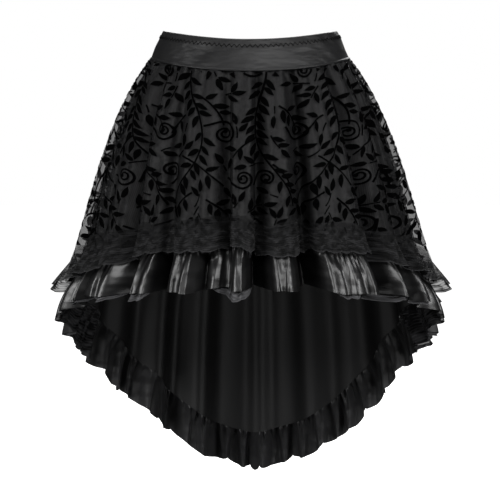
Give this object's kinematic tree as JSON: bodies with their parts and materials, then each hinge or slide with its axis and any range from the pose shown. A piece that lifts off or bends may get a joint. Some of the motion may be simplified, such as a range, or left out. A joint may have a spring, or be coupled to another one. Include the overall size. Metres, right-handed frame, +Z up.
{
  "type": "midi skirt",
  "caption": "High-low gothic skirt, short at the front and long at the back, with flocked vine mesh, satin ruffle hem and lace trims, shown as worn",
  "frame": {"origin": "the middle of the waist, half way down the waistband at the side seams, where a waist holds the skirt", "axes": "+Z up along the body, the front of the skirt faces -Y, +X is the side at the right of a front view"},
  "size_m": [0.6319, 0.5655, 0.7701],
  "materials": {
    "waistband": "satin",
    "lining": "dull satin",
    "mesh_layer": "sheer net, flocked",
    "lace_trim": "sheer lace",
    "ruffle": "glossy satin",
    "under_lace": "sheer lace"
  },
  "bodies": {
    "root": {"waistband_front": "waistband", "waistband_back": "waistband", "lining_front": "lining", "lining_back_left": "lining", "lining_back_right": "lining", "mesh_layer_front": "mesh_layer", "mesh_layer_back": "mesh_layer", "lace_trim_front": "lace_trim", "lace_trim_back": "lace_trim", "ruffle_front": "ruffle", "ruffle_back_left": "ruffle", "ruffle_back_right": "ruffle", "under_lace": "under_lace"}
  },
  "joints": []
}
